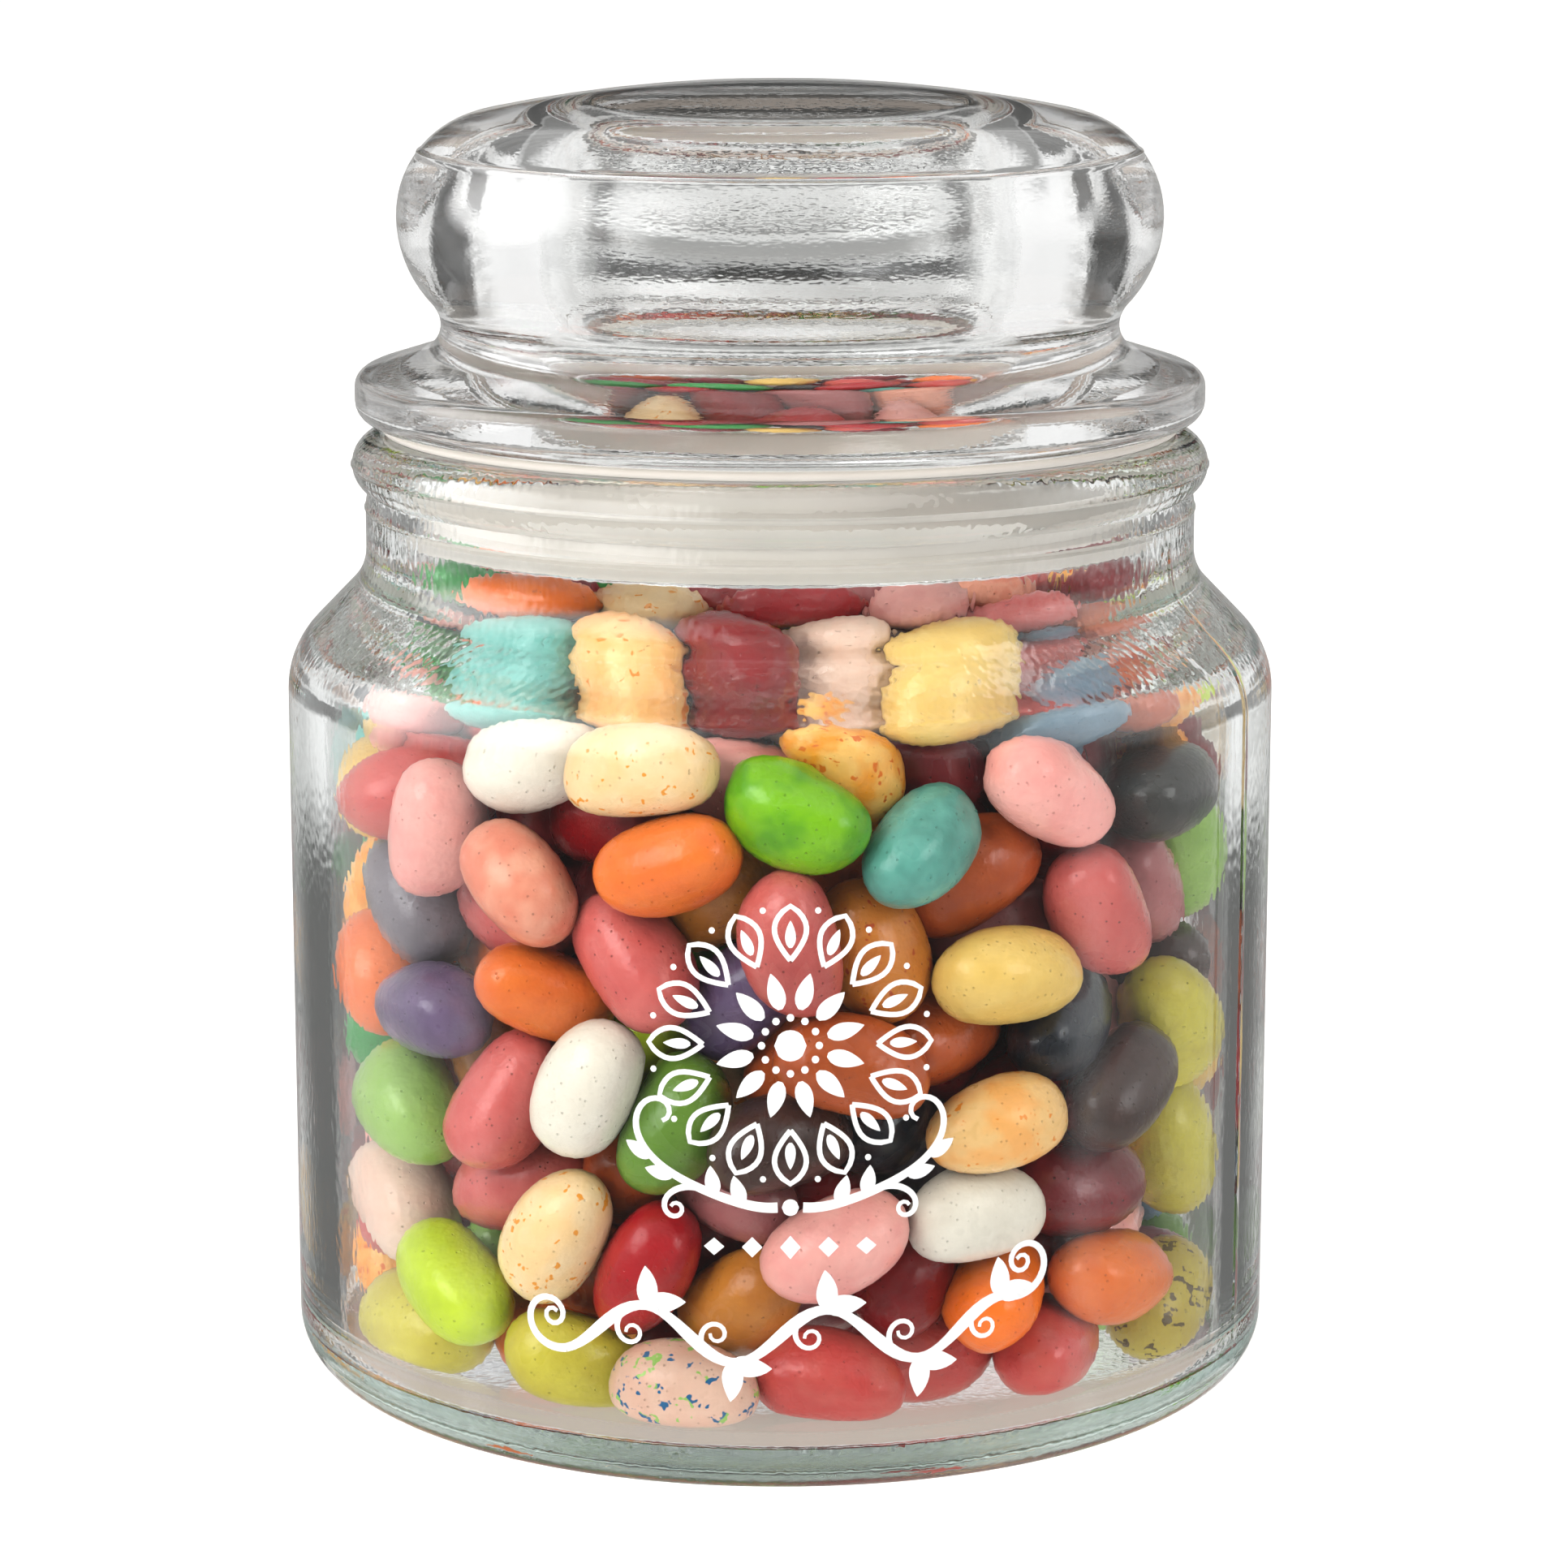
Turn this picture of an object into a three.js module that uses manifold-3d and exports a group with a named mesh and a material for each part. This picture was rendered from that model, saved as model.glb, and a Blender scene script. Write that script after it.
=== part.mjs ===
// A shut glass sweet jar full of jelly beans: jar, lid, seal ring and the heap of beans.
// Millimetres, +Z up, origin at the middle of the foot, everything turned about Z.

import * as THREE from 'three';
import { mergeVertices } from 'three/addons/utils/BufferGeometryUtils.js';
import Module from 'manifold-3d';

const wasm = await Module();
wasm.setup();

// Driving dimensions.
const SIDES = 36;
const GAP = 0.3;

const BODY_R = 50;
const WALL = 3.7;
const FLOOR_T = 3.8;
const HEEL_R = 5.6;
const FOOT_WIDTH = 4;
const FOOT_RISE = 1;
const SHOULDER_Z = 70.5;
const SHOULDER_R = 9.2;
const NECK_BASE = { r: 41.9, z: 84.8 };
const NECK_FILLET_R = 5.5;
const BEAD = { r: 40.2, z: 93.3, tube: 3 };
const RIM_ROUND = 1;
const INNER_CORNER_R = 4.5;
const INNER_SHOULDER = { round: 3.5, z: 71, leanDeg: 57 };
const INNER_NECK_ROUND = 2;

const LIP_T = 0.8;
const SEAL_T = 0.8;
const SEAL_RIBS = 2;
const SEAL_DROP = 10.6;

const FLANGE_R = 42.8;
const FLANGE_EDGE = { lowRound: 2, topRound: 1.6, topZ: 101.1 };
const CONE_SLOPE_DEG = 17;
const WAIST = { r: 34.1, z: 107.2, fillet: 3 };
const BULB = { r: 38.4, z: 118, lowArc: 12.5, topArc: 10.4 };
const CROWN_R = 150;
const PLUG_R = 36.1;
const PLUG_DROP = 11.5;
const PLUG_ROUND = 1.2;
const HOLLOW = { mouthR: 25.5, mouthRound: 1.5, topR: 24, topZ: 124, corner: 6 };

// A bean's half sizes, and the number of flats round it and along it.
const BEAN = { long: 7.9, wide: 5.4, thick: 5.1, around: 6, along: 4 };
const CORE = { inset: 6.5, bottomBevel: 6, shoulderBevel: 8, topZ: 77.6, sides: 16 };

const RIM_Z = BEAD.z + BEAD.tube;
const INNER_R = BODY_R - WALL;
const NECK_INNER_R = NECK_BASE.r - WALL;
const LIP_Z = RIM_Z + GAP;
const FLANGE_Z = LIP_Z + LIP_T + GAP;

const radians = THREE.MathUtils.degToRad;

// Points on an arc about (r, z), from one angle to another, counted from straight outwards.
function arc(r, z, radius, fromDeg, toDeg, steps) {
  const points = [];
  for (let i = 0; i <= steps; i += 1) {
    const angle = radians(fromDeg + ((toDeg - fromDeg) * i) / steps);
    points.push(new THREE.Vector2(r + radius * Math.cos(angle), z + radius * Math.sin(angle)));
  }
  return points;
}

function at(r, z) {
  return new THREE.Vector2(r, z);
}

// A solid of revolution about Z from a closed profile of (radius, height) points.
function turned(profile) {
  return new THREE.LatheGeometry(profile, SIDES).rotateX(Math.PI / 2);
}

function piece(name, geometry, color, roughness, extras = {}) {
  const material = new THREE.MeshStandardMaterial({ color, roughness, metalness: 0, ...extras });
  const mesh = new THREE.Mesh(geometry, material);
  mesh.name = name;
  return mesh;
}

// The jar: blown glass with a hollowed foot, a rounded shoulder, a short neck and a rim bead.
function jarGeometry() {
  const heelR = BODY_R - HEEL_R;
  const footR = heelR - FOOT_WIDTH;
  const shoulderR = BODY_R - SHOULDER_R;
  const filletR = NECK_BASE.r + NECK_FILLET_R;
  const cornerR = INNER_R - INNER_CORNER_R;
  const beadFootDeg = -74;
  // Inside, a cone runs from the shoulder's small round to the round edge of the neck.
  const lean = radians(INNER_SHOULDER.leanDeg);
  const roundR = INNER_R - INNER_SHOULDER.round;
  const edgeR = NECK_INNER_R + INNER_NECK_ROUND;
  const coneReach = roundR * Math.cos(lean) + INNER_SHOULDER.z * Math.sin(lean) + INNER_SHOULDER.round;
  const edgeZ = (coneReach + INNER_NECK_ROUND - edgeR * Math.cos(lean)) / Math.sin(lean);
  const outside = [
    at(0, FOOT_RISE),
    at(footR - 3, FOOT_RISE / 2),
    at(footR, 0),
    ...arc(heelR, HEEL_R, HEEL_R, -90, 0, 3),
    ...arc(shoulderR, SHOULDER_Z, SHOULDER_R, 0, 45, 3),
    ...arc(filletR, NECK_BASE.z, NECK_FILLET_R, 225, 180, 2),
    ...arc(BEAD.r, BEAD.z, BEAD.tube, beadFootDeg, 90, 5),
  ];
  const inside = [
    ...arc(NECK_INNER_R + RIM_ROUND, RIM_Z - RIM_ROUND, RIM_ROUND, 90, 180, 1),
    ...arc(edgeR, edgeZ, INNER_NECK_ROUND, 180, 180 + INNER_SHOULDER.leanDeg, 2),
    ...arc(roundR, INNER_SHOULDER.z, INNER_SHOULDER.round, INNER_SHOULDER.leanDeg, 0, 2),
    ...arc(cornerR, FLOOR_T + INNER_CORNER_R, INNER_CORNER_R, 0, -90, 2),
    at(0, FLOOR_T),
  ];
  return turned([...outside, ...inside]);
}

// The lid: thick pressed glass with a bulb to hold, a flange, a plug and a hollow open below.
function lidGeometry() {
  const topArcR = BULB.r - BULB.topArc;
  const crownLean = Math.asin(topArcR / (CROWN_R - BULB.topArc));
  const crownZ = BULB.z - (CROWN_R - BULB.topArc) * Math.cos(crownLean);
  const crownDeg = 90 - THREE.MathUtils.radToDeg(crownLean);
  const filletR = WAIST.r + WAIST.fillet;
  const bulbLowDeg = -44.2;
  const lowRoundR = FLANGE_R - FLANGE_EDGE.lowRound;
  const plugZ = FLANGE_Z - PLUG_DROP;
  const outside = [
    ...arc(0, crownZ, CROWN_R, 90, crownDeg, 2),
    ...arc(topArcR, BULB.z, BULB.topArc, crownDeg, 0, 5).slice(1),
    ...arc(BULB.r - BULB.lowArc, BULB.z, BULB.lowArc, 0, bulbLowDeg, 3).slice(1),
    ...arc(filletR, WAIST.z, WAIST.fillet, 180 + bulbLowDeg, 270 - CONE_SLOPE_DEG, 3).slice(1),
    ...arc(FLANGE_R - FLANGE_EDGE.topRound, FLANGE_EDGE.topZ, FLANGE_EDGE.topRound,
      90 - CONE_SLOPE_DEG, 0, 1),
    ...arc(lowRoundR, FLANGE_Z + FLANGE_EDGE.lowRound, FLANGE_EDGE.lowRound, 0, -90, 2),
  ];
  const plug = [
    at(PLUG_R, FLANGE_Z),
    ...arc(PLUG_R - PLUG_ROUND, plugZ + PLUG_ROUND, PLUG_ROUND, 0, -90, 1),
    ...arc(HOLLOW.mouthR + HOLLOW.mouthRound, plugZ + HOLLOW.mouthRound, HOLLOW.mouthRound,
      -90, -180, 1),
  ];
  const hollow = [
    ...arc(HOLLOW.topR - HOLLOW.corner, HOLLOW.topZ - HOLLOW.corner, HOLLOW.corner, 0, 90, 3),
    at(0, HOLLOW.topZ),
  ];
  return turned([...outside, ...plug, ...hollow].reverse());
}

// The seal ring: a thin plastic sleeve round the lid's plug, ribbed outside, with a lip on the rim.
function sealGeometry() {
  const innerR = PLUG_R + GAP;
  const sleeveR = innerR + SEAL_T;
  const ribR = NECK_INNER_R - GAP;
  const footZ = LIP_Z + LIP_T - SEAL_DROP;
  const ribPitch = (LIP_Z - footZ) / (SEAL_RIBS + 0.5);
  const ribHalf = SEAL_T;
  const profile = [at(innerR, footZ), at(sleeveR, footZ)];
  for (let i = 0; i < SEAL_RIBS; i += 1) {
    const ribZ = footZ + ribPitch * (i + 0.6);
    profile.push(at(sleeveR, ribZ - ribHalf), at(ribR, ribZ), at(sleeveR, ribZ + ribHalf));
  }
  profile.push(
    at(sleeveR, LIP_Z),
    at(BEAD.r, LIP_Z),
    at(BEAD.r, LIP_Z + LIP_T),
    at(innerR, LIP_Z + LIP_T),
    at(innerR, footZ),
  );
  return turned(profile);
}

// A repeatable stream of numbers from 0 to 1.
function seeded(seed) {
  let state = seed;
  return () => {
    state = (state * 1664525 + 1013904223) % 4294967296;
    return state / 4294967296;
  };
}

// A manifold solid from a closed geometry, its shared corners merged and its slivers dropped.
function solid(geometry) {
  geometry.deleteAttribute('normal');
  geometry.deleteAttribute('uv');
  const merged = mergeVertices(geometry, 1e-4);
  const corners = merged.index.array;
  const triangles = [];
  for (let i = 0; i < corners.length; i += 3) {
    const [a, b, c] = corners.subarray(i, i + 3);
    if (a !== b && b !== c && c !== a) triangles.push(a, b, c);
  }
  return new wasm.Manifold(new wasm.Mesh({
    numProp: 3,
    vertProperties: merged.attributes.position.array,
    triVerts: new Uint32Array(triangles),
  }));
}

// One bean with its thin way along the surface normal: tilt turns it on the surface,
// and lean is the normal's angle above the horizontal.
function beanSolid(spot) {
  const bean = new THREE.SphereGeometry(1, BEAN.around, BEAN.along)
    .rotateZ(Math.PI / 2)
    .rotateX(radians(180 / BEAN.around))
    .scale(BEAN.long, BEAN.thick, BEAN.wide)
    .rotateY(radians(spot.tilt))
    .rotateX(radians(spot.lean))
    .translate(0, spot.r, spot.z)
    .rotateZ(radians(spot.turn));
  return solid(bean);
}

// The rings of beans that show: radius of their middles, height, count and lean.
function beanRings() {
  const wallR = INNER_R * Math.cos(Math.PI / SIDES) - GAP - BEAN.thick;
  const floorZ = FLOOR_T + GAP + BEAN.thick;
  const rings = [
    { r: 9, z: floorZ, count: 3, lean: -90 },
    { r: 23, z: floorZ, count: 7, lean: -90 },
  ];
  const rows = 6;
  for (let row = 0; row < rows; row += 1) {
    rings.push({ r: wallR, z: 14.7 + row * 10.4, count: 14, lean: 0 });
  }
  rings.push(
    { r: wallR - 6.4, z: floorZ + 1, count: 12, lean: -60 },
    { r: 34.5, z: 73.3, count: 12, lean: INNER_SHOULDER.leanDeg },
    { r: 31.2, z: 80.5, count: 11, lean: 90 },
    { r: 20, z: 79.4, count: 6, lean: 90 },
    { r: 8, z: 78.8, count: 3, lean: 90 },
  );
  return rings;
}

// The heap: a plain core with every bean that shows joined on, out to the jar's inner wall.
function heapGeometry() {
  const random = seeded(29);
  const coreR = INNER_R - CORE.inset;
  const coreLow = FLOOR_T + CORE.inset;
  let heap = solid(new THREE.LatheGeometry([
    at(0, coreLow),
    at(coreR - CORE.bottomBevel, coreLow),
    at(coreR, coreLow + CORE.bottomBevel),
    at(coreR, CORE.topZ - CORE.shoulderBevel),
    at(coreR - CORE.shoulderBevel, CORE.topZ),
    at(0, CORE.topZ),
  ], CORE.sides).rotateX(Math.PI / 2));
  for (const ring of beanRings()) {
    const start = random() * 360;
    for (let i = 0; i < ring.count; i += 1) {
      const flat = Math.abs(ring.lean) === 90;
      const spot = {
        r: ring.r,
        z: ring.z + (flat ? 0 : (random() - 0.5) * 1.6),
        lean: ring.lean,
        tilt: (random() - 0.5) * (flat ? 70 : 90),
        turn: start + ((i + (random() - 0.5) * 0.25) * 360) / ring.count,
      };
      heap = heap.add(beanSolid(spot));
    }
  }
  const mesh = heap.getMesh();
  const geometry = new THREE.BufferGeometry();
  geometry.setAttribute('position', new THREE.BufferAttribute(mesh.vertProperties, 3));
  geometry.setIndex(new THREE.BufferAttribute(mesh.triVerts, 1));
  return geometry;
}

const clearGlass = { transparent: true, opacity: 0.35 };
const jellyBeanJar = new THREE.Group();
jellyBeanJar.add(
  piece('jar', jarGeometry(), 0xe9efec, 0.03, clearGlass),
  piece('lid', lidGeometry(), 0xe9edeb, 0.04, clearGlass),
  piece('seal_ring', sealGeometry(), 0xe8e6e6, 0.45),
  piece('jelly_beans', heapGeometry(), 0xd0735f, 0.3),
);

export default jellyBeanJar;
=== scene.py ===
"""A shut glass sweet jar full of jelly beans, with its finishes, floor, lights and camera.

Sizes in the sections are millimetres and degrees, and MM turns millimetres into the scene's metres.
Only the floor, the lights and the camera are given in metres.
"""

import math

import bpy
import numpy as np
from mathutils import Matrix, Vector


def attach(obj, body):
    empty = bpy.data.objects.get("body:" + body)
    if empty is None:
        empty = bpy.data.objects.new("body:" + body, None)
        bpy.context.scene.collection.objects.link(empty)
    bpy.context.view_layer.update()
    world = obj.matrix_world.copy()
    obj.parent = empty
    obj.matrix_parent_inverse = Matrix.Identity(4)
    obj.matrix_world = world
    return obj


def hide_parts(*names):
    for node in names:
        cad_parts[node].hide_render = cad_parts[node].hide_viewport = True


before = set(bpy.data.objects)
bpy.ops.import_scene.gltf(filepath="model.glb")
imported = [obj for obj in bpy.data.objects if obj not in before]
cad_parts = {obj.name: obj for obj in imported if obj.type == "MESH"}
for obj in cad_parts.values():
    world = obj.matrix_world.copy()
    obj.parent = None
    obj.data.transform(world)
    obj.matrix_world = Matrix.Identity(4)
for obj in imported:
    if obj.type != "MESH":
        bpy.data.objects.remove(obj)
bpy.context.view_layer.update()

# ---- Glass jar ---------------------------------------------------------------------------------
# Blown soda-lime glass in one piece: a hollowed foot, a straight body, a rounded shoulder, a short
# neck and a rim bead. The halves of its mould leave a fine seam round the neck and down the sides.
MM = 0.001
BODY_R = 50.0
WALL = 3.7
FLOOR_T = 3.8
HEEL_R = 5.6
FOOT_WIDTH = 4.0
FOOT_RISE = 1.0
FOOT_EDGE = 3.0
FOOT_RAMP = 12.0
SHOULDER_Z = 70.5
SHOULDER_R = 9.2
NECK_R = 41.9
NECK_Z = 84.8
NECK_FILLET_R = 5.5
NECK_SEAM_Z = 88.9
BEAD_R = 40.2
BEAD_Z = 93.3
BEAD_TUBE = 3.0
RIM_ROUND = 1.0
INNER_CORNER_R = 4.5
INNER_SHOULDER_R = 3.5
INNER_SHOULDER_Z = 71.0
INNER_CONE = 57.0
INNER_NECK_ROUND = 2.0
SEAM_HEIGHT = 0.14
SEAM_HALF = 0.3
SEAM_NEAR = 0.02
JAR_SEAM_TURN = 66.0
JAR_TURNS = 144
POLE_R = 0.001
MERGED = 0.002
SMOOTH_UP_TO = 50.0

INNER_R = BODY_R - WALL
NECK_INNER_R = NECK_R - WALL
FILLET_R = NECK_R + NECK_FILLET_R
RIM_Z = BEAD_Z + BEAD_TUBE


def arc(r, z, radius, start, end, steps):
    """Points on a round stretch about (r, z), its angles counted from straight outwards."""
    angles = np.radians(np.linspace(start, end, steps + 1))
    return [(r + radius * math.cos(a), z + radius * math.sin(a)) for a in angles]


def edit(piece, select="SELECT"):
    """Puts one piece alone in edit mode, with all or nothing of it selected."""
    bpy.ops.object.select_all(action="DESELECT")
    bpy.context.view_layer.objects.active = piece
    piece.select_set(True)
    bpy.ops.object.mode_set(mode="EDIT")
    bpy.ops.mesh.select_all(action=select)


def turned(name, outline, turns):
    """Draws an outline of (radius, height) point by point and spins it about the upright axis."""
    bpy.ops.mesh.primitive_plane_add(size=MM)
    piece = bpy.context.object
    piece.name = piece.data.name = name
    edit(piece)
    bpy.ops.mesh.merge(type="CENTER")
    here = (0.0, 0.0)
    for r, z in outline:
        step = {"value": ((r - here[0]) * MM, 0, (z - here[1]) * MM)}
        if here == (0.0, 0.0):
            bpy.ops.transform.translate(**step)
        else:
            bpy.ops.mesh.extrude_vertices_move(TRANSFORM_OT_translate=step)
        here = (r, z)
    bpy.ops.mesh.select_all(action="SELECT")
    bpy.ops.mesh.spin(steps=turns, angle=math.tau, center=(0, 0, 0), axis=(0, 0, 1))
    bpy.ops.mesh.select_all(action="SELECT")
    bpy.ops.mesh.remove_doubles(threshold=MERGED * MM)
    bpy.ops.mesh.normals_make_consistent(inside=False)
    bpy.ops.object.mode_set(mode="OBJECT")
    bpy.ops.object.shade_smooth_by_angle(angle=math.radians(SMOOTH_UP_TO))
    return piece


def ridge(r, z, along_r, along_z):
    """A mould seam in an outline: three points that stand up by the seam's height."""
    return [
        (r - along_r * SEAM_HALF, z - along_z * SEAM_HALF),
        (r + along_z * SEAM_HEIGHT, z - along_r * SEAM_HEIGHT),
        (r + along_r * SEAM_HALF, z + along_z * SEAM_HALF),
    ]


heel_r = BODY_R - HEEL_R
shoulder_r = BODY_R - SHOULDER_R
corner_r = INNER_R - INNER_CORNER_R
round_r = INNER_R - INNER_SHOULDER_R
edge_r = NECK_INNER_R + INNER_NECK_ROUND
cone_r, cone_z = math.cos(math.radians(INNER_CONE)), math.sin(math.radians(INNER_CONE))
cone_reach = round_r * cone_r + INNER_SHOULDER_Z * cone_z + INNER_SHOULDER_R
edge_z = (cone_reach + INNER_NECK_ROUND - edge_r * cone_r) / cone_z
jar = turned(
    "jar_body",
    [
        (POLE_R, FOOT_RISE),
        *[
            (heel_r - FOOT_WIDTH - FOOT_EDGE - FOOT_RAMP * t, FOOT_RISE * (0.5 + 0.5 * t))
            for t in (1, 0.5, 0)
        ],
        (heel_r - FOOT_WIDTH, 0),
        *arc(heel_r, HEEL_R, HEEL_R, -90, 0, 10),
        (BODY_R, 0.5 * SHOULDER_Z),
        *arc(shoulder_r, SHOULDER_Z, SHOULDER_R, 0, 45, 9),
        *arc(FILLET_R, NECK_Z, NECK_FILLET_R, 225, 180, 6),
        *ridge(NECK_R, NECK_SEAM_Z, 0, 1),
        *arc(BEAD_R, BEAD_Z, BEAD_TUBE, -60, -2, 8),
        *ridge(BEAD_R + BEAD_TUBE, BEAD_Z, 0, 1),
        *arc(BEAD_R, BEAD_Z, BEAD_TUBE, 8, 90, 9),
        *arc(NECK_INNER_R + RIM_ROUND, RIM_Z - RIM_ROUND, RIM_ROUND, 90, 180, 5),
        *arc(edge_r, edge_z, INNER_NECK_ROUND, 180, 180 + INNER_CONE, 6),
        *arc(round_r, INNER_SHOULDER_Z, INNER_SHOULDER_R, INNER_CONE, 0, 8),
        (INNER_R, 0.5 * SHOULDER_Z),
        *arc(corner_r, FLOOR_T + INNER_CORNER_R, INNER_CORNER_R, 0, -90, 8),
        (0.5 * corner_r, FLOOR_T),
        (POLE_R, FLOOR_T),
    ],
    JAR_TURNS,
)

# The upright seams: a narrow ridge on the outer wall where the mould halves met.
seam_out = Vector((math.sin(math.radians(JAR_SEAM_TURN)), -math.cos(math.radians(JAR_SEAM_TURN)), 0))
seam_flat = Vector((seam_out.y, -seam_out.x, 0))
for offset in (-SEAM_HALF, 0, SEAM_HALF):
    edit(jar)
    bpy.ops.mesh.bisect(plane_co=seam_flat * offset * MM, plane_no=seam_flat)
    bpy.ops.object.mode_set(mode="OBJECT")
for v in jar.data.vertices:
    out = Vector((v.co.x, v.co.y, 0))
    on_seam = abs(v.co.dot(seam_flat)) < SEAM_NEAR * MM and HEEL_R * MM < v.co.z < NECK_Z * MM
    wall_r = INNER_R if v.co.z < SHOULDER_Z * MM else NECK_INNER_R + 1
    if on_seam and v.normal.dot(out) > 0 and out.length > wall_r * MM + 0.5 * MM:
        v.co += out.normalized() * SEAM_HEIGHT * MM


def fill(tree, sockets, values):
    """Gives each socket its value: a link from another socket, or a plain number or colour."""
    for socket, value in zip(sockets, values):
        if isinstance(value, bpy.types.NodeSocket):
            tree.links.new(value, socket)
        else:
            socket.default_value = value


def node(tree, kind, **values):
    """A shader node: socket values go by the socket's name, anything else is a setting."""
    made = tree.nodes.new(kind)
    for key, value in values.items():
        socket = made.inputs.get(key.replace("_", " "))
        if socket is None:
            setattr(made, key, value)
        else:
            fill(tree, [socket], [value])
    return made


def math_node(tree, operation, first, second=0.0):
    """One sum between two numbers or sockets."""
    made = tree.nodes.new("ShaderNodeMath")
    made.operation = operation
    fill(tree, made.inputs, (first, second))
    return made.outputs[0]


def effect(name, inputs, outputs):
    """An empty node group with named sockets, and its two end nodes."""
    tree = bpy.data.node_groups.new(name, "ShaderNodeTree")
    for label, kind, value in inputs:
        socket = tree.interface.new_socket(label, in_out="INPUT", socket_type=kind)
        if value is not None:
            socket.default_value = value
    for label, kind in outputs:
        tree.interface.new_socket(label, in_out="OUTPUT", socket_type=kind)
    return tree, tree.nodes.new("NodeGroupInput").outputs, tree.nodes.new("NodeGroupOutput").inputs


FLOAT, COLOUR, VECTOR = "NodeSocketFloat", "NodeSocketColor", "NodeSocketVector"


def ramp(tree, value, low, high):
    """A number spread from 0 at low to 1 at high."""
    made = node(tree, "ShaderNodeMapRange", Value=value, From_Min=low, From_Max=high)
    return made.outputs["Result"]


# Ripples of the glass: how high they are where it is calm, how much more elsewhere, and over how
# long a stretch they grow.
CALM_RIPPLE = 0.25
ROUGH_RIPPLE = 1.6
RIPPLE_GROWS = 0.004
ripple, given, result = effect(
    "glass_ripple",
    [
        ("Vector", VECTOR, None), ("Fine", FLOAT, 900.0), ("Broad", FLOAT, 90.0),
        ("Calm Low", FLOAT, 0.0), ("Calm High", FLOAT, 0.0),
    ],
    [("Height", FLOAT)],
)
fine = node(ripple, "ShaderNodeTexNoise", Vector=given["Vector"], Scale=given["Fine"], Detail=0.0)
broad = node(ripple, "ShaderNodeTexNoise", Vector=given["Vector"], Scale=given["Broad"], Detail=0.0)
upright = node(ripple, "ShaderNodeSeparateXYZ", Vector=given["Vector"]).outputs[2]
lower = ramp(ripple, math_node(ripple, "SUBTRACT", given["Calm Low"], upright), 0, RIPPLE_GROWS)
upper = ramp(ripple, math_node(ripple, "SUBTRACT", upright, given["Calm High"]), 0, RIPPLE_GROWS)
rough = math_node(ripple, "MULTIPLY", math_node(ripple, "ADD", lower, upper), ROUGH_RIPPLE)
rough = math_node(ripple, "ADD", rough, CALM_RIPPLE)
both = math_node(ripple, "MULTIPLY", fine.outputs["Fac"], rough)
both = math_node(ripple, "ADD", both, broad.outputs["Fac"])
ripple.links.new(both, result["Height"])

# Glass by its surface and by its depth, and what is left of a ray that has bent too often.
CLEAR = (0.99, 0.995, 0.993, 1)
GREENISH = (0.72, 0.92, 0.84, 1)
GLASS_IOR = 1.5
WORN = (0.66, 0.67, 0.67, 1)
WORN_AFTER = 6.5


def new_material(name):
    """A new material, its node tree and its own shader."""
    made = bpy.data.materials.new(name)
    made.use_nodes = True
    return made, made.node_tree, made.node_tree.nodes["Principled BSDF"]


def either(tree, when, first, second):
    """One shader where a number is 0, another where it is 1."""
    made = node(tree, "ShaderNodeMixShader")
    fill(tree, made.inputs, (when, first.outputs[0], second.outputs[0]))
    return made


def glass(name, density, fine, broad, squash, depth, calm):
    """Clear glass, green in its depth and rippled but for a calm stretch.

    It lets light straight through to what it holds, and worn rays, which have bent too often, too.
    """
    material, tree, _ = new_material(name)
    tree.nodes.clear()
    place = node(tree, "ShaderNodeTexCoord")
    stretched = node(tree, "ShaderNodeMapping", Vector=place.outputs["Object"], Scale=(1, 1, squash))
    waves = node(tree, "ShaderNodeGroup", node_tree=ripple)
    tree.links.new(stretched.outputs[0], waves.inputs["Vector"])
    waves.inputs["Fine"].default_value = fine
    waves.inputs["Broad"].default_value = broad
    waves.inputs["Calm Low"].default_value = calm[0] * squash * MM
    waves.inputs["Calm High"].default_value = calm[1] * squash * MM
    bump = node(tree, "ShaderNodeBump", Height=waves.outputs["Height"], Distance=depth * MM)
    seen = node(
        tree, "ShaderNodeBsdfPrincipled", Base_Color=CLEAR, Roughness=0.0, IOR=GLASS_IOR,
        Transmission_Weight=1.0, Normal=bump.outputs[0],
    )
    clear = node(tree, "ShaderNodeBsdfTransparent", Color=CLEAR)
    dim = node(tree, "ShaderNodeBsdfTransparent", Color=WORN)
    light = node(tree, "ShaderNodeLightPath")
    worn = math_node(tree, "GREATER_THAN", light.outputs["Ray Depth"], WORN_AFTER)
    straight = [
        (worn, dim),
        (light.outputs["Is Diffuse Ray"], clear),
        (light.outputs["Is Shadow Ray"], clear),
    ]
    for when, then in straight:
        seen = either(tree, when, seen, then)
    end = node(tree, "ShaderNodeOutputMaterial", Surface=seen.outputs[0])
    if density:
        depths = node(tree, "ShaderNodeVolumeAbsorption", Color=GREENISH, Density=density)
        tree.links.new(depths.outputs[0], end.inputs["Volume"])
    return material


def finish(piece, material, slot, *nodes):
    """Dresses a piece, fixes it to the body and hides the model's solids that it stands in for."""
    piece.data.materials.clear()
    piece.data.materials.append(material)
    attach(piece, "root")
    if nodes:
        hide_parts(*nodes)


finish(jar, glass("jar_glass", 8.0, 1400, 75, 0.6, 0.02, (7, 71)), "jar_glass", "jar")

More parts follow.
